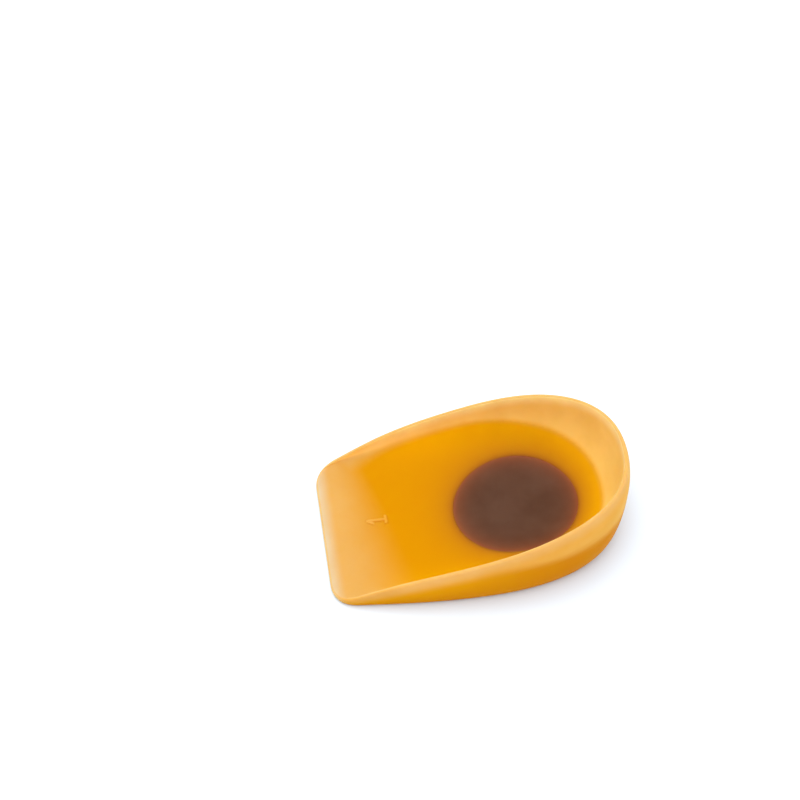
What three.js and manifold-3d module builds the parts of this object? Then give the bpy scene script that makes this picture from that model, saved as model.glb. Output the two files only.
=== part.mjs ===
// A silicone heel cup with a softer oval pad let into its floor, as it lies on a table.
// Millimetres, +Z up. The heel's back is at +Y and the thin front edge at -Y. The origin is on the
// underside, midway between the front edge and the back, on the line of symmetry.
import * as THREE from 'three';
import { mergeVertices } from 'three/addons/utils/BufferGeometryUtils.js';
import Module from 'manifold-3d';

// Plan of the cup, measured over its widest line
const LENGTH = 100;
const WIDTH = 65;
const FRONT_WIDTH = 54; // between the two front corners, before they are rounded
const HEEL_CURVE_LENGTH = 48; // from the widest place to the heel's back
const FRONT_CORNER_RADIUS = 8;
const SIDE_STRAIGHTNESS = 0.37; // how long the side runs straight beside its widest place
const SIDE_LEAD = 0.4; // how far the side first runs towards its straight stretch
const HEEL_FULLNESS = 0.64; // 0.55 is an ellipse, and more is squarer

// Heights and thicknesses
const HEEL_HEIGHT = 32;
const LIP_THICKNESS = 1.5;
const FRONT_FLOOR_THICKNESS = 2.6;
const HEEL_FLOOR_THICKNESS = 5;

// Cross-section of the wall at the heel
const BASE_INSET = 4.3; // the wall's foot stands this far inside its widest line
const CREST_INSET = 2; // and the rim's crest this far
const WIDEST_SHARE = 0.7; // height of the widest line, as a share of the rim's height
const RIM_ROUND = 0.5; // radius of the rim's inner edge
const LIP_INSET = 0.6; // both insets at the thin front edge
const BOWL_POWER = 2.8; // 2 is a round bowl, and more is flatter below and steeper above
const LIP_POWER = 4; // how late the floor thins towards the front edge
const WALL_START = 6; // a wall this much higher than the floor has its full bowl form
const ROUND_SHARE = 0.3; // the rim's inner edge is never rounder than this share of its wall

// The line that every cross-section starts from
const FRONT_FOOT = 22; // its end behind the front edge
const HEEL_FOOT = 35; // its end in front of the heel's back
const LEAST_SLANT = 0.35; // the walls count as no more slanted to their cross-section than this

// The soft pad
const PAD_LENGTH = 41;
const PAD_WIDTH = 38;
const PAD_FROM_BACK = 36; // its centre, in front of the heel's back
const PAD_SKIN = 1.5; // silicone left under the pad
const CLEARANCE = 0.3; // between the pad and its recess

// The raised size numeral
const MARK_HEIGHT = 7;
const MARK_WIDTH = 3.4;
const MARK_STROKE = 1;
const MARK_FLAG_DROP = 1.7; // from the numeral's top to the top of its flag's end
const MARK_RELIEF = 0.4;
const MARK_FROM_FRONT = 18; // its centre, behind the front edge
const MARK_ASIDE = 2.5; // its centre, to the left of the line of symmetry

// Sections from the front edge to the heel's back. along is a share of LENGTH, rise is the share of
// the rim's climb from the lip to HEEL_HEIGHT, and deepening the share of the floor's from its front
// thickness to its heel thickness.
const SECTIONS = [
  { along: 0.0, rise: 0.0, deepening: 0.0 },
  { along: 0.25, rise: 0.375, deepening: 0.1 },
  { along: 0.5, rise: 0.625, deepening: 0.75 },
  { along: 0.75, rise: 0.845, deepening: 1.0 },
  { along: 1.0, rise: 1.0, deepening: 1.0 },
];

// Fineness of the mesh
const HALF_OUTLINE_STEPS = 50;
const OUTER_STEPS = 5;
const CREST_STEPS = 5;
const ROUND_STEPS = 3;
const BOWL_STEPS = 12;
const PAD_STEPS = 56;
const MERGE_DISTANCE = 1e-4;

// Finishes
const AMBER = { color: 0xee9c14, roughness: 0.42 };
const BROWN = { color: 0x644534, roughness: 0.5 };

const FRONT_Y = -LENGTH / 2;
const BACK_Y = LENGTH / 2;
const CUTTER_TOP = HEEL_HEIGHT * 2;

const wasm = await Module();
wasm.setup();

const mix = (a, b, share) => a + (b - a) * share;

// The value of one column at a share of the length, on a curve that never overshoots its sections.
function sectionValue(column, along) {
  const at = THREE.MathUtils.clamp(along, 0, 1);
  const last = SECTIONS.length - 1;
  const secants = SECTIONS.slice(1).map(
    (row, i) => (row[column] - SECTIONS[i][column]) / (row.along - SECTIONS[i].along),
  );
  const slope = (i) => {
    if (i === 0) return secants[0];
    if (i === last) return secants[last - 1];
    const product = secants[i - 1] * secants[i];
    return product > 0 ? (2 * product) / (secants[i - 1] + secants[i]) : 0;
  };
  const i = Math.min(
    SECTIONS.findLastIndex((row) => row.along <= at),
    last - 1,
  );
  const span = SECTIONS[i + 1].along - SECTIONS[i].along;
  const t = (at - SECTIONS[i].along) / span;
  return (
    SECTIONS[i][column] * (1 + 2 * t) * (1 - t) ** 2 +
    SECTIONS[i + 1][column] * t * t * (3 - 2 * t) +
    slope(i) * span * t * (1 - t) ** 2 -
    slope(i + 1) * span * t * t * (1 - t)
  );
}

// Half of the plan outline, from the middle of the front edge round the right side to the back.
function halfOutline() {
  const halfFront = FRONT_WIDTH / 2;
  const halfWidth = WIDTH / 2;
  const widestY = BACK_Y - HEEL_CURVE_LENGTH;
  const corner = new THREE.Vector2(halfFront, FRONT_Y);
  const sideControl = new THREE.Vector2(halfWidth, mix(widestY, FRONT_Y, SIDE_STRAIGHTNESS));
  const sideStart = sideControl
    .clone()
    .sub(corner)
    .setLength(FRONT_CORNER_RADIUS)
    .add(corner);
  const sideLead = sideStart.clone().lerp(sideControl, SIDE_LEAD);
  const path = new THREE.Path();
  path.moveTo(0, FRONT_Y);
  path.lineTo(halfFront - FRONT_CORNER_RADIUS, FRONT_Y);
  path.quadraticCurveTo(corner.x, corner.y, sideStart.x, sideStart.y);
  path.bezierCurveTo(sideLead.x, sideLead.y, sideControl.x, sideControl.y, halfWidth, widestY);
  path.bezierCurveTo(
    halfWidth,
    widestY + HEEL_CURVE_LENGTH * HEEL_FULLNESS,
    halfWidth * HEEL_FULLNESS,
    BACK_Y,
    0,
    BACK_Y,
  );
  return path.getSpacedPoints(HALF_OUTLINE_STEPS);
}

// The whole outline, counterclockwise from above, closed on itself.
function wholeOutline() {
  const half = halfOutline();
  half[0].x = 0;
  half[HALF_OUTLINE_STEPS].x = 0;
  const mirrored = half
    .slice(1, -1)
    .reverse()
    .map((point) => new THREE.Vector2(-point.x, point.y));
  return [...half, ...mirrored];
}

// The cross-section at one point of the outline: distances from its foot, and heights.
function crossSection(point, normal) {
  const footY = THREE.MathUtils.clamp(point.y, FRONT_Y + FRONT_FOOT, BACK_Y - HEEL_FOOT);
  const foot = new THREE.Vector2(0, footY);
  const ray = point.clone().sub(foot);
  const reach = ray.length();
  ray.divideScalar(reach);
  const slant = Math.max(ray.dot(normal), LEAST_SLANT);

  const rise = sectionValue('rise', (point.y - FRONT_Y) / LENGTH);
  const deepening = sectionValue('deepening', (footY - FRONT_Y) / LENGTH);
  const rim = mix(LIP_THICKNESS, HEEL_HEIGHT, rise);
  const floor = mix(FRONT_FLOOR_THICKNESS, HEEL_FLOOR_THICKNESS, deepening);
  const widest = rim * WIDEST_SHARE;
  const baseInset = mix(LIP_INSET, BASE_INSET, rise) / slant;
  const crestInset = mix(LIP_INSET, CREST_INSET, rise) / slant;
  const wall = Math.max(rim - floor, 0);
  const round = Math.min(RIM_ROUND, wall * ROUND_SHARE);
  const bowlReach = reach - crestInset - round / slant;
  const bowlTop = rim - round;
  const wallness = THREE.MathUtils.smoothstep(wall, 0, WALL_START);

  const rings = [{ out: 0, z: 0 }];
  for (let i = 0; i <= OUTER_STEPS; i++) {
    const angle = (Math.PI / 2) * (i / OUTER_STEPS);
    rings.push({ out: reach - baseInset * (1 - Math.sin(angle)), z: widest * (1 - Math.cos(angle)) });
  }
  for (let i = 1; i <= CREST_STEPS; i++) {
    const angle = (Math.PI / 2) * (i / CREST_STEPS);
    rings.push({
      out: reach - crestInset * (1 - Math.cos(angle)),
      z: mix(widest, rim, Math.sin(angle)),
    });
  }
  for (let i = 1; i <= ROUND_STEPS; i++) {
    const angle = (Math.PI / 2) * (i / ROUND_STEPS);
    rings.push({
      out: reach - crestInset - (round / slant) * Math.sin(angle),
      z: rim - round * (1 - Math.cos(angle)),
    });
  }
  for (let i = 1; i <= BOWL_STEPS; i++) {
    const angle = (Math.PI / 2) * (1 - i / BOWL_STEPS);
    const share = Math.sin(angle) ** (2 / BOWL_POWER);
    const bowl = 1 - Math.cos(angle) ** (2 / BOWL_POWER);
    const climb = mix(share ** LIP_POWER, bowl, wallness);
    rings.push({ out: bowlReach * share, z: mix(floor, bowlTop, climb) });
  }
  return rings.map(({ out, z }) => new THREE.Vector3(ray.x * out, foot.y + ray.y * out, z));
}

// The cup before its recess is cut: the cross-sections joined into one closed skin.
function blankGeometry() {
  const outline = wholeOutline();
  const count = outline.length;
  const columns = outline.map((point, i) => {
    const before = outline[(i + count - 1) % count];
    const after = outline[(i + 1) % count];
    const normal = new THREE.Vector2(after.y - before.y, before.x - after.x).normalize();
    return crossSection(point, normal);
  });
  const rings = columns[0].length;
  const geometry = new THREE.BufferGeometry();
  geometry.setAttribute(
    'position',
    new THREE.Float32BufferAttribute(
      columns.flatMap((column) => column.flatMap((point) => point.toArray())),
      3,
    ),
  );
  const index = [];
  for (let i = 0; i < count; i++) {
    const here = i * rings;
    const next = ((i + 1) % count) * rings;
    for (let r = 0; r < rings - 1; r++) {
      index.push(here + r, next + r, next + r + 1);
      index.push(here + r, next + r + 1, here + r + 1);
    }
  }
  geometry.setIndex(index);
  return geometry;
}

// A closed geometry as a solid that can be joined and cut.
function solidOf(geometry) {
  const bare = geometry.clone();
  bare.deleteAttribute('normal');
  bare.deleteAttribute('uv');
  const merged = mergeVertices(bare, MERGE_DISTANCE);
  const corners = merged.index.array;
  const kept = [];
  for (let i = 0; i < corners.length; i += 3) {
    const [a, b, c] = [corners[i], corners[i + 1], corners[i + 2]];
    if (a !== b && b !== c && c !== a) kept.push(a, b, c);
  }
  return new wasm.Manifold(
    new wasm.Mesh({
      numProp: 3,
      vertProperties: new Float32Array(merged.attributes.position.array),
      triVerts: new Uint32Array(kept),
    }),
  );
}

// A solid back as a geometry with flat shading.
function geometryOf(solid) {
  const mesh = solid.getMesh();
  const geometry = new THREE.BufferGeometry();
  geometry.setAttribute('position', new THREE.BufferAttribute(mesh.vertProperties, 3));
  geometry.setIndex(new THREE.BufferAttribute(mesh.triVerts, 1));
  const flat = geometry.toNonIndexed();
  flat.computeVertexNormals();
  return flat;
}

// An upright oval column at the pad's place, from a height to well above the rim.
function ovalColumn(length, width, bottom) {
  const oval = new THREE.Shape();
  oval.absellipse(0, BACK_Y - PAD_FROM_BACK, width / 2, length / 2, 0, Math.PI * 2, false, 0);
  const geometry = new THREE.ExtrudeGeometry(oval, {
    depth: CUTTER_TOP - bottom,
    bevelEnabled: false,
    curveSegments: PAD_STEPS,
  });
  return geometry.translate(0, 0, bottom);
}

// The numeral 1 with a flag and a foot, its top towards the front edge, as an upright column.
function markColumn(bottom) {
  const half = MARK_HEIGHT / 2;
  const stroke = MARK_STROKE / 2;
  const foot = MARK_WIDTH / 2;
  const flagTop = half - MARK_FLAG_DROP;
  const numeral = new THREE.Shape([
    new THREE.Vector2(-foot, -half),
    new THREE.Vector2(foot, -half),
    new THREE.Vector2(foot, -half + MARK_STROKE),
    new THREE.Vector2(stroke, -half + MARK_STROKE),
    new THREE.Vector2(stroke, half),
    new THREE.Vector2(-stroke, half),
    new THREE.Vector2(-foot, flagTop),
    new THREE.Vector2(-foot, flagTop - MARK_STROKE),
    new THREE.Vector2(-stroke, half - MARK_STROKE),
    new THREE.Vector2(-stroke, -half + MARK_STROKE),
    new THREE.Vector2(-foot, -half + MARK_STROKE),
  ]);
  const geometry = new THREE.ExtrudeGeometry(numeral, {
    depth: CUTTER_TOP - bottom,
    bevelEnabled: false,
  });
  geometry.rotateZ(Math.PI);
  return geometry.translate(-MARK_ASIDE, FRONT_Y + MARK_FROM_FRONT, bottom);
}

// The relief follows the floor: it is what the numeral's column shares with a raised copy of the cup.
function raisedMark(blank) {
  const column = solidOf(markColumn(LIP_THICKNESS / 2));
  const raised = solidOf(blank.clone().translate(0, 0, MARK_RELIEF));
  return column.intersect(raised);
}

function silicone(finish) {
  return new THREE.MeshStandardMaterial({ ...finish, metalness: 0 });
}

function makeCup(blank) {
  const recess = solidOf(
    ovalColumn(PAD_LENGTH + 2 * CLEARANCE, PAD_WIDTH + 2 * CLEARANCE, PAD_SKIN),
  );
  const solid = solidOf(blank).add(raisedMark(blank)).subtract(recess);
  const cup = new THREE.Mesh(geometryOf(solid), silicone(AMBER));
  cup.name = 'cup_shell';
  return cup;
}

function makePad(blank) {
  const column = solidOf(ovalColumn(PAD_LENGTH, PAD_WIDTH, PAD_SKIN + CLEARANCE));
  const pad = new THREE.Mesh(geometryOf(solidOf(blank).intersect(column)), silicone(BROWN));
  pad.name = 'soft_pad';
  return pad;
}

const blank = blankGeometry();
const heelCup = new THREE.Group();
heelCup.add(makeCup(blank), makePad(blank));

export default heelCup;
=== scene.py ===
import math

import bmesh
import bpy
import numpy as np
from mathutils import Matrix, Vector
from mathutils.bvhtree import BVHTree


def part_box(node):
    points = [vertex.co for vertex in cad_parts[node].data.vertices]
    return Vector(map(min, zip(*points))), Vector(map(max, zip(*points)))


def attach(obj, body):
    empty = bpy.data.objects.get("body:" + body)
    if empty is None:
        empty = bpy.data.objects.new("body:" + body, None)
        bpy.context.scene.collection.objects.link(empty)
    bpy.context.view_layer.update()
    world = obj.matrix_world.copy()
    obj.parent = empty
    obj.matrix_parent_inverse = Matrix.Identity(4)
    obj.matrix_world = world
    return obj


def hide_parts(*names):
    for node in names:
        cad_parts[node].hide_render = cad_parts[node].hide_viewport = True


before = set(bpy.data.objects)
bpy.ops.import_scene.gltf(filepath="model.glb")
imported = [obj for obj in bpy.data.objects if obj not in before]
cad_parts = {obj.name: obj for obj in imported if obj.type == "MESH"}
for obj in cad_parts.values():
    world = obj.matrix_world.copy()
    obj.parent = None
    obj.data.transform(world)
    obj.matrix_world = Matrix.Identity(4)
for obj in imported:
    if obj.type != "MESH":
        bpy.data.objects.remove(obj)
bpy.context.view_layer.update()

MM = 0.001

# Sizes taken from the frame
CUP_LOW, CUP_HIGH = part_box("cup_shell")
PAD_LOW, PAD_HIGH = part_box("soft_pad")
LENGTH = CUP_HIGH[1] - CUP_LOW[1]
WIDTH = CUP_HIGH[0] - CUP_LOW[0]
HEEL_HEIGHT = CUP_HIGH[2] - CUP_LOW[2]
FRONT_Y = CUP_LOW[1]
BACK_Y = CUP_HIGH[1]
PAD_WIDTH = PAD_HIGH[0] - PAD_LOW[0]
PAD_LENGTH = PAD_HIGH[1] - PAD_LOW[1]
PAD_CENTRE = np.array((0, (PAD_HIGH[1] + PAD_LOW[1]) / 2))
PAD_BOTTOM = PAD_LOW[2]

# Plan of the cup
FRONT_WIDTH = 54 * MM
HEEL_CURVE_LENGTH = 48 * MM
FRONT_CORNER_RADIUS = 8 * MM
SIDE_STRAIGHTNESS = 0.37
SIDE_LEAD = 0.4
HEEL_FULLNESS = 0.64

# Cross-section of the wall
LIP_THICKNESS = 1.5 * MM
FRONT_FLOOR_THICKNESS = 2.6 * MM
HEEL_FLOOR_THICKNESS = 5 * MM
BASE_INSET = 4.3 * MM
CREST_INSET = 2.0 * MM
LIP_INSET = 0.6 * MM
WIDEST_SHARE = 0.7
RIM_ROUND = 0.5 * MM
ROUND_SHARE = 0.3
BOWL_POWER = 2.8
LIP_POWER = 4
WALL_START = 6 * MM
FRONT_FOOT = 22 * MM
HEEL_FOOT = 35 * MM
LEAST_SLANT = 0.35

# Sections from the front edge to the heel's back. along is a share of LENGTH, rise the share of the
# rim's climb, deepening the share of the floor's, and pale_inside and pale_outside the share of the
# rim's height above which the wall takes painted light, as if lit through its thin silicone and from
# above.
COLUMNS = ("along", "rise", "deepening", "pale_inside", "pale_outside")
SECTIONS = (
    (0.0, 0.0, 0.0, 0.45, 0.6),
    (0.25, 0.375, 0.1, 0.61, 0.7),
    (0.5, 0.625, 0.75, 0.66, 0.77),
    (0.75, 0.845, 1.0, 0.54, 0.62),
    (1.0, 1.0, 1.0, 0.33, 0.52),
)

# Fineness of the mesh
HALF_OUTLINE_STEPS = 240
CURVE_SAMPLES = 400
BASE_STEPS = 12
OUTER_STEPS = 14
CREST_STEPS = 14
ROUND_STEPS = 8
WALL_STEPS = 34
FLOOR_STEPS = 56
RECESS_STEPS = 4
DISH_STEPS = 110
PAD_STEPS = 36
MARK_CUTS = 2  # times that the floor is cut finer round the numeral
FLOOR_RING = 0.76  # where the wall's rings end and the floor's begin, as a share of the bowl's reach
LAST_DISH_RING = 0.02  # the last ring that heights are read from before the middle, as the same share
WELD = 0.001 * MM
EDGE_ANGLE = math.radians(50)
NEARLY_ZERO = 1e-9

# The pad in its recess
PAD_GAP = 0.03 * MM

# The raised size numeral
MARK_HEIGHT = 7 * MM
MARK_WIDTH = 3.4 * MM
MARK_STROKE = 1 * MM
MARK_FLAG_DROP = 1.7 * MM
MARK_RELIEF = 0.4 * MM
MARK_SLOPE = 0.35 * MM
MARK_FROM_FRONT = 18 * MM
MARK_ASIDE = 2.5 * MM
MARK_MARGIN = 1.2 * MM  # how far round the numeral the floor is cut finer

# The camera, which looks down on the cup's right side. Its angles and the light's are in degrees.
CAMERA_AZIMUTH = 81.7
CAMERA_ELEVATION = 51.6
CAMERA_DISTANCE = 654.4 * MM
CAMERA_LENS = 84.5  # focal length in millimetres, the camera's own unit
CAMERA_NEAREST = 10 * MM
CAMERA_AIM = Vector((-53.7 * MM, -16.7 * MM, 0))

# Where painted light and shade go on the silicone: light through its thin walls and lip and on faces
# turned up, a glow through the lower walls, a highlight on the numeral and shade on the rim's top. A
# pair is where a change of colour begins and where it ends.
BORDER_INSIDE = 1.5 * MM
BORDER_OUTSIDE = 2.6 * MM
LEAST_DISH = 1.2 * MM  # the least height above the floor at which the border of the inner wall's painted light lies
LIP_START = 5 * MM
LIP_LEFT = 11 * MM
LIP_RIGHT = 31 * MM
LIP_BEND = 0.6  # below 1, the lip widens fastest beside the left wall
LIP_EDGE = 5 * MM
LIP_FACE = 0.4  # how much of the front edge's painted light the lip's upright front face gets, beside its top
LIP_SHARE = (0.1, 0.35)  # of the length
STEEP = (0.15, 0.6)  # of the way from level to upright
OUTER_LIP = 6 * MM
OUTER_GLOW = 0.5
OUTER_FADE = (0.3, 0.8)  # of the length
GLOW_SHARE = (0.05, 0.5)  # of the length
# how bright the painted highlight on the numeral's raised strokes is
MARK_HIGHLIGHT = 0.35
# how far below the rim the painted light along the crest begins
CREST_FADE = 5 * MM
TOP_RINGS = 5  # rings of the mesh from the rim's top, by which the painted shade on the top has faded out

# The stain round the pad and the pad's lighter edge, each with a narrow and a wide part
HALO_SHARP = 0.9 * MM
HALO_WIDE = 5 * MM
HALO_NEAR = 0.35
HALO_FAR = 0.46
EDGE_SHARP = 0.5 * MM
EDGE_WIDE = 2.6 * MM
EDGE_NEAR = 0.15
EDGE_FAR = 0.5

# The light and the floor
WORLD_STRENGTH = 1.15
KEY_AZIMUTH = 335
KEY_ELEVATION = 85
KEY_DISTANCE = 3
KEY_SIZE = 3
KEY_POWER = 55
KEY_COLOUR = (1, 0.99, 0.97)
KEY_AIM = Vector((0, 0, 0))
FLOOR_REACH = 3
FLOOR_ROUGHNESS = 0.9
FLOOR_SHINE = 0.1


def linear(red, green, blue):
    """The linear colour of a colour as it shows on a screen, from 0 to 255."""
    values = [channel / 255 for channel in (red, green, blue)]
    return [v / 12.92 if v <= 0.04045 else ((v + 0.055) / 1.055) ** 2.4 for v in values] + [1]


# Colours in linear light
AMBER = [0.545, 0.226, 0.0, 1]  # the dish
SHADED_DEEP_AMBER = [0.54, 0.175, 0.0, 1]  # deeper amber of the thick silicone with painted shade, on the outside low down
GLOW_AMBER = [0.77, 0.37, 0.0, 1]  # painted glow on the walls below their painted light, where light comes through
LIT_OUTER_AMBER = [0.69, 0.345, 0.06, 1]  # painted light on the outside, high up, where the wall is thin and faces up
LIT_INNER_AMBER = [0.81, 0.5, 0.12, 1]  # painted light on the inside, high up, coming through the thin wall
LIT_LIP_AMBER = [0.58, 0.32, 0.085, 1]  # painted light through the thin front lip
LIT_CREST_INSIDE = [0.86, 0.65, 0.28, 1]  # painted light just below the rim, inside, along its thin crest
LIT_CREST_OUTSIDE = [0.64, 0.38, 0.125, 1]  # painted light just below the rim, outside
SHADED_TOP_AMBER = [0.58, 0.35, 0.12, 1]  # painted shade on the rim's top
LIT_EDGE_AMBER = [0.57, 0.445, 0.28, 1]  # painted light through the thin front edge
HALO = linear(124, 60, 30)
BROWN = linear(77, 49, 34)
BROWN_LIGHT = linear(83, 56, 41)
BROWN_EDGE = linear(155, 80, 38)
FLOOR_WHITE = [0.72, 0.81, 0.9, 1]
FLOOR_DIMMER = [0.71, 0.8, 0.89, 1]

# The silicone's surface, and how far light goes into it, with a share for red, green and blue
SILICONE_IOR = 1.41
AMBER_SHINE = 0.012
AMBER_ROUGHNESS = 0.42
AMBER_SCATTER = 0.6
AMBER_DEPTH = 4 * MM
AMBER_SPREAD = (1.0, 0.7, 0.3)
BROWN_SHINE = 0.1
BROWN_ROUGHNESS = 0.46
BROWN_SCATTER = 0.4
BROWN_DEPTH = 1.2 * MM
BROWN_SPREAD = (1.0, 0.4, 0.2)

# Clouds of colour and fine grain
CLOUD_FADE = (0.35, 0.65)  # the noise at which a cloud begins and at which it is full
AMBER_CLOUD_SIZE = 10 * MM
AMBER_CLOUD = 0.18
BROWN_CLOUD_SIZE = 9 * MM
BROWN_CLOUD = 1
AMBER_GRAIN_SIZE = 0.7 * MM
BROWN_GRAIN_SIZE = 0.6 * MM
GRAIN_DEPTH = 0.02 * MM
NOISE_DETAIL = 3
FLOOR_CLOUD_SIZE = 200 * MM
FLOOR_DETAIL = 1


def mix(a, b, share):
    return a + (b - a) * share


def smooth(edge_low, edge_high, value):
    share = np.clip((value - edge_low) / (edge_high - edge_low), 0, 1)
    return share * share * (3 - 2 * share)


def section_value(column, along):
    """One column of the sections at shares of the length, on a curve that never overshoots."""
    table = np.array(SECTIONS)
    x = table[:, 0]
    y = table[:, COLUMNS.index(column)]
    secants = np.diff(y) / np.diff(x)
    slopes = np.empty(len(x))
    slopes[0] = secants[0]
    slopes[-1] = secants[-1]
    for k in range(1, len(x) - 1):
        product = secants[k - 1] * secants[k]
        slopes[k] = 2 * product / (secants[k - 1] + secants[k]) if product > 0 else 0
    at = np.clip(along, 0, 1)
    i = np.clip(np.searchsorted(x, at, side="right") - 1, 0, len(x) - 2)
    span = x[i + 1] - x[i]
    t = (at - x[i]) / span
    return (
        y[i] * (1 + 2 * t) * (1 - t) ** 2
        + y[i + 1] * t * t * (3 - 2 * t)
        + slopes[i] * span * t * (1 - t) ** 2
        - slopes[i + 1] * span * t * t * (1 - t)
    )


def bezier(points):
    """Samples of the Bezier curve that has these control points."""
    t = np.linspace(0, 1, CURVE_SAMPLES)[:, None]
    degree = len(points) - 1
    return sum(
        math.comb(degree, k) * t**k * (1 - t) ** (degree - k) * np.array(point)
        for k, point in enumerate(points)
    )


def whole_outline():
    """The plan outline, counterclockwise from above, evenly spaced, from the middle of the front."""
    half_front = FRONT_WIDTH / 2
    half_width = WIDTH / 2
    widest_y = BACK_Y - HEEL_CURVE_LENGTH
    corner = np.array((half_front, FRONT_Y))
    control = np.array((half_width, mix(widest_y, FRONT_Y, SIDE_STRAIGHTNESS)))
    towards = (control - corner) / np.linalg.norm(control - corner)
    side_start = corner + towards * FRONT_CORNER_RADIUS
    side_lead = mix(side_start, control, SIDE_LEAD)
    front_end = (half_front - FRONT_CORNER_RADIUS, FRONT_Y)
    widest = (half_width, widest_y)
    heel_side = (half_width, widest_y + HEEL_CURVE_LENGTH * HEEL_FULLNESS)
    heel_back = (half_width * HEEL_FULLNESS, BACK_Y)
    dense = np.vstack(
        (
            bezier(((0, FRONT_Y), front_end)),
            bezier((front_end, corner, side_start))[1:],
            bezier((side_start, side_lead, control, widest))[1:],
            bezier((widest, heel_side, heel_back, (0, BACK_Y)))[1:],
        )
    )
    run = np.concatenate(((0,), np.cumsum(np.linalg.norm(np.diff(dense, axis=0), axis=1))))
    even = np.linspace(0, run[-1], HALF_OUTLINE_STEPS + 1)
    half = np.stack((np.interp(even, run, dense[:, 0]), np.interp(even, run, dense[:, 1])), axis=1)
    mirrored = half[-2:0:-1] * (-1, 1)
    return np.vstack((half, mirrored))


def quarter(steps, start=0):
    """Angles from 0 to a right angle in even steps, without those before a first one."""
    return np.linspace(0, math.pi / 2, steps + 1)[start:]


class Sections:
    """The cross-sections at every point of the outline."""

    def __init__(self):
        self.outline = whole_outline()
        around = np.roll(self.outline, -1, axis=0) - np.roll(self.outline, 1, axis=0)
        normal = np.stack((around[:, 1], -around[:, 0]), axis=1)
        normal /= np.linalg.norm(normal, axis=1)[:, None]
        foot_y = np.clip(self.outline[:, 1], FRONT_Y + FRONT_FOOT, BACK_Y - HEEL_FOOT)
        self.foot = np.stack((np.zeros_like(foot_y), foot_y), axis=1)
        ray = self.outline - self.foot
        self.reach = np.linalg.norm(ray, axis=1)
        self.ray = ray / self.reach[:, None]
        slant = np.maximum((self.ray * normal).sum(axis=1), LEAST_SLANT)
        self.along = (self.outline[:, 1] - FRONT_Y) / LENGTH
        rise = section_value("rise", self.along)
        deepening = section_value("deepening", (foot_y - FRONT_Y) / LENGTH)
        self.rim = mix(LIP_THICKNESS, HEEL_HEIGHT, rise)
        self.floor = mix(FRONT_FLOOR_THICKNESS, HEEL_FLOOR_THICKNESS, deepening)
        self.widest = self.rim * WIDEST_SHARE
        self.base_inset = mix(LIP_INSET, BASE_INSET, rise) / slant
        self.crest_inset = mix(LIP_INSET, CREST_INSET, rise) / slant
        wall = np.maximum(self.rim - self.floor, 0)
        self.round = np.minimum(RIM_ROUND, wall * ROUND_SHARE)
        self.round_reach = self.round / slant
        self.wallness = smooth(0, WALL_START, wall)

    def place(self, out, z):
        """Points at a distance from the foot along each ray, and at a height."""
        plan = self.foot + self.ray * out[:, None]
        return np.column_stack((plan, z))

    def outer_rings(self):
        rings = []
        for angle in quarter(OUTER_STEPS):
            out = self.reach - self.base_inset * (1 - math.sin(angle))
            rings.append(self.place(out, self.widest * (1 - math.cos(angle))))
        for angle in quarter(CREST_STEPS, 1):
            out = self.reach - self.crest_inset * (1 - math.cos(angle))
            rings.append(self.place(out, mix(self.widest, self.rim, math.sin(angle))))
        for angle in quarter(ROUND_STEPS, 1):
            out = self.reach - self.crest_inset - self.round_reach * math.sin(angle)
            rings.append(self.place(out, self.rim - self.round * (1 - math.cos(angle))))
        return rings

    def bowl_ring(self, share):
        """One ring of the inner bowl, at a share of its reach."""
        bowl_reach = self.reach - self.crest_inset - self.round_reach
        cosine = (1 - share**BOWL_POWER) ** (1 / BOWL_POWER)
        climb = mix(share**LIP_POWER, 1 - cosine, self.wallness)
        return self.place(bowl_reach * share, mix(self.floor, self.rim - self.round, climb))


def bowl_shares(last, steps):
    """Shares of the bowl's reach from its top to a last share, closest where the wall is steepest."""
    last_angle = math.asin(last ** (BOWL_POWER / 2))
    angles = np.linspace(math.pi / 2, last_angle, steps + 1)[1:]
    return np.sin(angles) ** (2 / BOWL_POWER)


def ring_faces(rings, count):
    """Quads between rings that run round the same number of points."""
    i = np.arange(count)
    following = (i + 1) % count
    faces = []
    for r in range(rings - 1):
        here = r * count
        above = here + count
        faces.append(np.stack((here + i, here + following, above + following, above + i), axis=1))
    return np.vstack(faces)


class Dish:
    """The cup's inner surface, before the pad's recess is cut into it."""

    def __init__(self, sections):
        shares = np.concatenate(((1,), bowl_shares(LAST_DISH_RING, DISH_STEPS)))
        rings = [sections.bowl_ring(share) for share in shares]
        middle = np.column_stack((sections.foot, sections.floor))
        points = np.vstack((*rings, middle))
        faces = ring_faces(len(rings) + 1, len(sections.outline))
        self.tree = BVHTree.FromPolygons(points.tolist(), faces.tolist())

    def lay(self, plan):
        """Plan points laid on the surface."""
        above = 2 * HEEL_HEIGHT
        down = Vector((0, 0, -1))
        heights = [self.tree.ray_cast(Vector((x, y, above)), down)[0].z for x, y in plan]
        return np.column_stack((plan, heights))


def oval(directions, grown):
    """Plan points of the pad's oval, grown outwards, in unit directions from its centre."""
    half_width = PAD_WIDTH / 2 + grown
    half_length = PAD_LENGTH / 2 + grown
    reach = 1 / np.hypot(directions[:, 0] / half_width, directions[:, 1] / half_length)
    return PAD_CENTRE + directions * reach[:, None]


def oval_distance(plan):
    """Distance outwards from the pad's oval, along the line from its centre, negative inside it."""
    offset = plan - PAD_CENTRE
    size = np.hypot(offset[:, 0] / (PAD_WIDTH / 2), offset[:, 1] / (PAD_LENGTH / 2))
    away = np.maximum(np.linalg.norm(offset, axis=1), NEARLY_ZERO)
    return away * (1 - 1 / np.maximum(size, NEARLY_ZERO))


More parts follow.
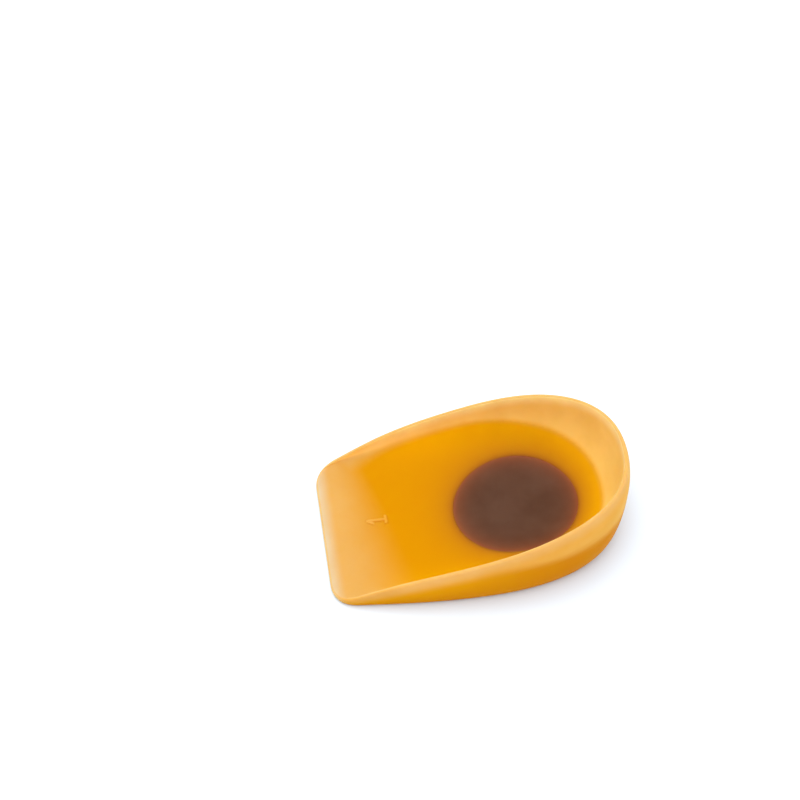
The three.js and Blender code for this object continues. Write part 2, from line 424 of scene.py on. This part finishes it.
def mark_relief(plan):
    """How high the raised numeral 1 stands at plan points. Its top is towards the front edge."""
    x = -(plan[:, 0] + MARK_ASIDE)
    y = -(plan[:, 1] - FRONT_Y - MARK_FROM_FRONT)
    half = MARK_HEIGHT / 2 - MARK_STROKE / 2
    side = MARK_WIDTH / 2 - MARK_STROKE / 2
    strokes = (
        ((0, -half), (0, half)),
        ((-side, -half), (side, -half)),
        ((0, half), (-side, half - MARK_FLAG_DROP)),
    )
    nearest = np.full(len(plan), np.inf)
    for (ax, ay), (bx, by) in strokes:
        run = np.array((bx - ax, by - ay))
        share = np.clip(((x - ax) * run[0] + (y - ay) * run[1]) / (run @ run), 0, 1)
        nearest = np.minimum(nearest, np.hypot(x - ax - share * run[0], y - ay - share * run[1]))
    edge = MARK_STROKE / 2
    return MARK_RELIEF * (1 - smooth(edge - MARK_SLOPE / 2, edge + MARK_SLOPE / 2, nearest))


def ring_levels(start, end, steps):
    """Rings in even steps from one ring to another, both kept."""
    return [mix(start, end, share) for share in np.linspace(0, 1, steps + 1)]


def level(plan, z):
    """Plan points at a height."""
    return np.column_stack((plan, np.full(len(plan), z)))


def closing_rings(top, centre, z):
    """Rings from an edge straight down to a height, and from there in to a centre."""
    bottom = level(top[:, :2], z)
    side = ring_levels(top, bottom, RECESS_STEPS)[1:]
    return side + ring_levels(bottom, level(centre, z), BASE_STEPS)[1:]


class CupMesh:
    """The cup's closed skin, ring by ring: underside, outside, rim, bowl, floor and recess."""

    def __init__(self, sections, dish):
        count = len(sections.outline)
        centre = np.tile(PAD_CENTRE, (count, 1))
        outer = sections.outer_rings()
        base = ring_levels(level(centre, 0), outer[0], BASE_STEPS)[:-1]
        wall = [sections.bowl_ring(share) for share in bowl_shares(FLOOR_RING, WALL_STEPS)]
        floor = self.floor_rings(wall[-1][:, :2], dish)
        recess = closing_rings(floor[-1], centre, PAD_BOTTOM - PAD_GAP)
        rings = base + outer + wall + floor + recess
        self.points = np.vstack(rings)
        self.faces = ring_faces(len(rings), count)
        # Rings are counted inwards from the crest. The inside begins half-way down the rounding, and the
        # top, which gets a painted shade of its own, lies a quarter of the way down it.
        crest = len(base) + OUTER_STEPS + CREST_STEPS
        inward = np.repeat(np.arange(len(rings)) - crest, count)
        self.inside = inward > ROUND_STEPS // 2
        self.top = 1 - smooth(TOP_RINGS / 2, TOP_RINGS, np.abs(inward - ROUND_STEPS // 4))

    def floor_rings(self, wall_foot, dish):
        """Rings from the foot of the wall to the edge of the recess, which lie on the dish."""
        offset = wall_foot - PAD_CENTRE
        edge = oval(offset / np.linalg.norm(offset, axis=1)[:, None], PAD_GAP)
        return [dish.lay(plan) for plan in ring_levels(wall_foot, edge, FLOOR_STEPS)[1:]]


def mesh_object(name, points, faces):
    mesh = bpy.data.meshes.new(name)
    mesh.from_pydata(points.tolist(), [], faces.tolist())
    piece = bpy.data.objects.new(name, mesh)
    bpy.context.collection.objects.link(piece)
    return piece


def add_value(piece, name, values):
    """A number for each point of a piece, which its material reads."""
    attribute = piece.data.attributes.new(name, "FLOAT", "POINT")
    attribute.data.foreach_set("value", np.asarray(values, dtype=np.float32))


def read_points(piece):
    points = np.empty(len(piece.data.vertices) * 3)
    piece.data.vertices.foreach_get("co", points)
    return points.reshape(-1, 3)


def read_steepness(piece):
    """How steep a piece is at each point, from 0 where it lies level to 1 where it stands upright."""
    normals = np.empty(len(piece.data.vertices) * 3, dtype=np.float32)
    piece.data.vertex_normals.foreach_get("vector", normals)
    return 1 - np.abs(normals.reshape(-1, 3)[:, 2])


def near_mark(points):
    """Which points of the floor lie in or round the numeral."""
    aside = np.abs(points[:, 0] + MARK_ASIDE) < MARK_WIDTH / 2 + MARK_MARGIN
    along = np.abs(points[:, 1] - FRONT_Y - MARK_FROM_FRONT) < MARK_HEIGHT / 2 + MARK_MARGIN
    return aside & along & (points[:, 2] > LIP_THICKNESS)


def raise_mark(piece):
    """Raises the numeral from a patch of the floor that is cut finer first."""
    mesh = piece.data
    for _ in range(MARK_CUTS):
        edit = bmesh.new()
        edit.from_mesh(mesh)
        edit.verts.ensure_lookup_table()
        inside = near_mark(np.array([v.co for v in edit.verts]))
        faces = [f for f in edit.faces if all(inside[v.index] for v in f.verts)]
        edges = {e for f in faces for e in f.edges}
        bmesh.ops.subdivide_edges(edit, edges=list(edges), cuts=1, use_grid_fill=True)
        edit.to_mesh(mesh)
        edit.free()
    points = read_points(piece)
    patch = near_mark(points)
    points[patch, 2] += mark_relief(points[patch, :2])
    mesh.vertices.foreach_set("co", points.ravel())
    mesh.update()


def finish_mesh(piece):
    """Welds the centres, turns the faces outwards and shades them smooth except at real edges."""
    edit = bmesh.new()
    edit.from_mesh(piece.data)
    bmesh.ops.remove_doubles(edit, verts=edit.verts, dist=WELD)
    bmesh.ops.recalc_face_normals(edit, faces=edit.faces)
    edit.to_mesh(piece.data)
    edit.free()
    piece.data.polygons.foreach_set("use_smooth", [True] * len(piece.data.polygons))
    piece.data.set_sharp_from_angle(angle=EDGE_ANGLE)


def make_cup(sections, dish):
    skin = CupMesh(sections, dish)
    cup = mesh_object("heel_cup_skin", skin.points, skin.faces)
    add_value(cup, "inside", skin.inside)
    add_value(cup, "top", skin.top)
    finish_mesh(cup)
    raise_mark(cup)
    return cup


def make_pad(dish):
    """The pad: a disc whose top follows the dish, with upright sides and a flat underside."""
    count = 2 * HALF_OUTLINE_STEPS
    turn = np.linspace(0, 2 * math.pi, count, endpoint=False)
    edge = oval(np.column_stack((np.cos(turn), np.sin(turn))), 0)
    centre = np.tile(PAD_CENTRE, (count, 1))
    top = [dish.lay(plan) for plan in ring_levels(centre, edge, PAD_STEPS)]
    rings = top + closing_rings(top[-1], centre, PAD_BOTTOM)
    pad = mesh_object("soft_pad_skin", np.vstack(rings), ring_faces(len(rings), count))
    finish_mesh(pad)
    return pad


class Tint:
    """The share of each colour at the points of the cup, worked out from where they lie."""

    def __init__(self, cup):
        self.points = read_points(cup)
        self.steepness = read_steepness(cup)
        inside = np.empty(len(self.points), dtype=np.float32)
        cup.data.attributes["inside"].data.foreach_get("value", inside)
        self.within = inside > 0.5
        self.height = self.points[:, 2]
        self.behind = self.points[:, 1] - FRONT_Y
        self.along = self.behind / LENGTH
        self.rim = mix(LIP_THICKNESS, HEEL_HEIGHT, section_value("rise", self.along))
        deepening = section_value("deepening", self.along)
        self.floor = mix(FRONT_FLOOR_THICKNESS, HEEL_FLOOR_THICKNESS, deepening)
        pale_from = self.rim * section_value("pale_inside", self.along)
        self.border_in = np.maximum(pale_from, self.floor + LEAST_DISH)
        self.border_out = self.rim * section_value("pale_outside", self.along)

    def upper_wall(self, border, spread):
        """The wall above a border, blended across it."""
        return smooth(border - spread, border + spread, self.height)

    def painted_light(self):
        """Painted light: on the upper wall, where light comes through the thin silicone and falls on
        faces turned up, on the thin lip, and as a highlight on the raised numeral.
        """
        across = np.clip((self.points[:, 0] - CUP_LOW[0]) / WIDTH, 0, 1)
        lip = 1 - smooth(LIP_START, mix(LIP_LEFT, LIP_RIGHT, across**LIP_BEND), self.behind)
        # painted highlight on the numeral's raised strokes
        mark_highlight = MARK_HIGHLIGHT * mark_relief(self.points[:, :2]) / MARK_RELIEF
        wall_in = self.upper_wall(self.border_in, BORDER_INSIDE)
        wall_out = self.upper_wall(self.border_out, BORDER_OUTSIDE)
        outer_lip = 1 - smooth(0, OUTER_LIP, self.behind)
        pale_in = np.maximum(wall_in, np.minimum(lip + mark_highlight, 1))
        return np.where(self.within, pale_in, np.maximum(wall_out, outer_lip))

    def glow(self):
        """Painted glow on the walls below their painted light, where light comes through."""
        fade = 1 - smooth(*OUTER_FADE, self.along)
        glow_out = OUTER_GLOW * smooth(0, self.border_out, self.height) * fade
        glow_in = smooth(self.floor, self.border_in, self.height) * smooth(*GLOW_SHARE, self.along)
        return np.where(self.within, glow_in, glow_out)

    def inner_wall(self):
        """The upper wall on the inside alone, which takes the inside's painted light."""
        return self.upper_wall(self.border_in, BORDER_INSIDE) * self.within

    def lip(self):
        """The front of the cup, without the steep inner faces of its walls, where the lip's painted
        light is used.
        """
        upright = smooth(*STEEP, self.steepness) * self.within
        return (1 - smooth(*LIP_SHARE, self.along)) * (1 - upright)

    def crest(self):
        """Painted light on the walls just below the rim."""
        near_rim = smooth(self.rim - CREST_FADE, self.rim, self.height)
        return near_rim * smooth(*LIP_SHARE, self.along)

    def lit_edge(self):
        """Painted light through the thin front edge, less on its outside faces."""
        return (1 - smooth(0, LIP_EDGE, self.behind)) * np.where(self.within, 1, LIP_FACE)

    def halo(self):
        """The stain round the pad."""
        outward = np.maximum(oval_distance(self.points[:, :2]), 0)
        stain = HALO_NEAR * np.exp(-outward / HALO_SHARP) + HALO_FAR * np.exp(-outward / HALO_WIDE)
        return np.where(self.within & (self.height < self.border_in), stain, 0)


def tint_cup(cup):
    """Gives the cup's points the shares of colour that its material mixes."""
    tint = Tint(cup)
    add_value(cup, "painted_light", tint.painted_light())
    add_value(cup, "glow", tint.glow())
    add_value(cup, "within", tint.inner_wall())
    add_value(cup, "lip", tint.lip())
    add_value(cup, "crest", tint.crest())
    add_value(cup, "lit_edge", tint.lit_edge())
    add_value(cup, "halo", tint.halo())


def new_material(name):
    material = bpy.data.materials.new(name)
    material.use_nodes = True
    nodes = material.node_tree.nodes
    shader = nodes["Principled BSDF"]
    return material, nodes, material.node_tree.links, shader


def mixed(nodes, links, factor, low, high):
    """A colour between two, by a factor socket. Each colour is a value or a socket."""
    node = nodes.new("ShaderNodeMix")
    node.data_type = "RGBA"
    links.new(factor, node.inputs["Factor"])
    for socket, colour in (("A", low), ("B", high)):
        target = next(i for i in node.inputs if i.name == socket and i.type == "RGBA")
        if isinstance(colour, bpy.types.NodeSocket):
            links.new(colour, target)
        else:
            target.default_value = colour
    return next(o for o in node.outputs if o.type == "RGBA")


def attribute(nodes, name):
    node = nodes.new("ShaderNodeAttribute")
    node.attribute_name = name
    return node.outputs["Fac"]


def noise(nodes, links, size, detail):
    """Noise whose blotches are about this size, in metres."""
    place = nodes.new("ShaderNodeTexCoord")
    node = nodes.new("ShaderNodeTexNoise")
    node.inputs["Scale"].default_value = 1 / size
    node.inputs["Detail"].default_value = detail
    links.new(place.outputs["Object"], node.inputs["Vector"])
    return node.outputs["Fac"]


def clouds(nodes, links, size, strength):
    """Soft clouds of about this size, from 0 between them to their strength."""
    node = nodes.new("ShaderNodeMapRange")
    links.new(noise(nodes, links, size, NOISE_DETAIL), node.inputs["Value"])
    begin, full = CLOUD_FADE
    for name, number in (("From Min", begin), ("From Max", full), ("To Min", 0), ("To Max", strength)):
        node.inputs[name].default_value = number
    return node.outputs["Result"]


def add_grain(nodes, links, shader, size):
    """A fine unevenness of the surface, with grains of about this size."""
    node = nodes.new("ShaderNodeBump")
    node.inputs["Strength"].default_value = 1
    node.inputs["Distance"].default_value = GRAIN_DEPTH
    links.new(noise(nodes, links, size, NOISE_DETAIL), node.inputs["Height"])
    links.new(node.outputs["Normal"], shader.inputs["Normal"])


def set_silicone(shader, shine, roughness, scatter, depth, spread):
    shader.inputs["Subsurface Weight"].default_value = scatter
    shader.inputs["Subsurface Radius"].default_value = spread
    shader.inputs["Subsurface Scale"].default_value = depth
    shader.inputs["IOR"].default_value = SILICONE_IOR
    shader.inputs["Specular IOR Level"].default_value = shine
    shader.inputs["Roughness"].default_value = roughness


def amber_silicone():
    material, nodes, links, shader = new_material("amber_silicone")
    # Over the amber's own colour: painted shade low on the outside, a painted glow through the lower
    # walls, painted light on the upper walls, lip, crest and front edge, and painted shade on the rim's
    # top.
    shaded_deep = mixed(nodes, links, attribute(nodes, "inside"), SHADED_DEEP_AMBER, AMBER)
    shade_and_glow = mixed(nodes, links, attribute(nodes, "glow"), shaded_deep, GLOW_AMBER)
    wall = mixed(nodes, links, attribute(nodes, "within"), LIT_OUTER_AMBER, LIT_INNER_AMBER)
    lip = mixed(nodes, links, attribute(nodes, "lip"), wall, LIT_LIP_AMBER)
    painted_light = mixed(nodes, links, attribute(nodes, "painted_light"), shade_and_glow, lip)
    rim = mixed(nodes, links, attribute(nodes, "inside"), LIT_CREST_OUTSIDE, LIT_CREST_INSIDE)
    crest = mixed(nodes, links, attribute(nodes, "crest"), painted_light, rim)
    top = mixed(nodes, links, attribute(nodes, "top"), crest, SHADED_TOP_AMBER)
    lit_edge = mixed(nodes, links, attribute(nodes, "lit_edge"), top, LIT_EDGE_AMBER)
    cloud = clouds(nodes, links, AMBER_CLOUD_SIZE, AMBER_CLOUD)
    clouded = mixed(nodes, links, cloud, lit_edge, AMBER)
    stained = mixed(nodes, links, attribute(nodes, "halo"), clouded, HALO)
    links.new(stained, shader.inputs["Base Color"])
    set_silicone(shader, AMBER_SHINE, AMBER_ROUGHNESS, AMBER_SCATTER, AMBER_DEPTH, AMBER_SPREAD)
    add_grain(nodes, links, shader, AMBER_GRAIN_SIZE)
    return material


def brown_silicone():
    material, nodes, links, shader = new_material("brown_silicone")
    cloud = clouds(nodes, links, BROWN_CLOUD_SIZE, BROWN_CLOUD)
    body = mixed(nodes, links, cloud, BROWN, BROWN_LIGHT)
    edged = mixed(nodes, links, attribute(nodes, "edge"), body, BROWN_EDGE)
    links.new(edged, shader.inputs["Base Color"])
    set_silicone(shader, BROWN_SHINE, BROWN_ROUGHNESS, BROWN_SCATTER, BROWN_DEPTH, BROWN_SPREAD)
    add_grain(nodes, links, shader, BROWN_GRAIN_SIZE)
    return material


def white_floor():
    material, nodes, links, shader = new_material("white_floor")
    tone = noise(nodes, links, FLOOR_CLOUD_SIZE, FLOOR_DETAIL)
    links.new(mixed(nodes, links, tone, FLOOR_WHITE, FLOOR_DIMMER), shader.inputs["Base Color"])
    shader.inputs["Roughness"].default_value = FLOOR_ROUGHNESS
    shader.inputs["Specular IOR Level"].default_value = FLOOR_SHINE
    corners = FLOOR_REACH * np.array(((-1, -1), (1, -1), (1, 1), (-1, 1)))
    floor = mesh_object("floor", level(corners, 0), np.array([[0, 1, 2, 3]]))
    floor.data.materials.append(material)
    return floor


def direction(azimuth, elevation):
    """Unit vector towards a viewer or a lamp. Azimuth 0 stands at -Y, 90 at +X."""
    a = math.radians(azimuth)
    e = math.radians(elevation)
    return Vector((math.sin(a) * math.cos(e), -math.cos(a) * math.cos(e), math.sin(e)))


def stand(thing, aim, azimuth, elevation, distance):
    """Stands a camera or a lamp at a distance from the point that it is turned to."""
    bpy.context.collection.objects.link(thing)
    back = direction(azimuth, elevation)
    thing.location = aim + back * distance
    thing.rotation_mode = "QUATERNION"
    thing.rotation_quaternion = (-back).to_track_quat("-Z", "Y")


def make_camera():
    camera = bpy.data.objects.new("camera", bpy.data.cameras.new("camera"))
    camera.data.lens = CAMERA_LENS
    camera.data.clip_start = CAMERA_NEAREST
    stand(camera, CAMERA_AIM, CAMERA_AZIMUTH, CAMERA_ELEVATION, CAMERA_DISTANCE)
    bpy.context.scene.camera = camera


def make_key():
    lamp = bpy.data.objects.new("key", bpy.data.lights.new("key", "AREA"))
    lamp.data.shape = "DISK"
    lamp.data.size = KEY_SIZE
    lamp.data.energy = KEY_POWER
    lamp.data.color = KEY_COLOUR
    stand(lamp, KEY_AIM, KEY_AZIMUTH, KEY_ELEVATION, KEY_DISTANCE)


def make_world():
    world = bpy.data.worlds.new("studio")
    world.use_nodes = True
    background = world.node_tree.nodes["Background"]
    background.inputs["Color"].default_value = (1, 1, 1, 1)
    background.inputs["Strength"].default_value = WORLD_STRENGTH
    bpy.context.scene.world = world


def dress_cup(sections, dish):
    cup = make_cup(sections, dish)
    tint_cup(cup)
    cup.data.materials.append(amber_silicone())
    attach(cup, "root")
    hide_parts("cup_shell")


def dress_pad(dish):
    pad = make_pad(dish)
    inward = np.maximum(-oval_distance(read_points(pad)[:, :2]), 0)
    edge = EDGE_NEAR * np.exp(-inward / EDGE_SHARP) + EDGE_FAR * np.exp(-inward / EDGE_WIDE)
    add_value(pad, "edge", edge)
    pad.data.materials.append(brown_silicone())
    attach(pad, "root")
    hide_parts("soft_pad")


make_camera()
make_world()
make_key()
white_floor()
sections = Sections()
dish = Dish(sections)
dress_cup(sections, dish)
dress_pad(dish)
bpy.context.scene.view_settings.view_transform = "Standard"
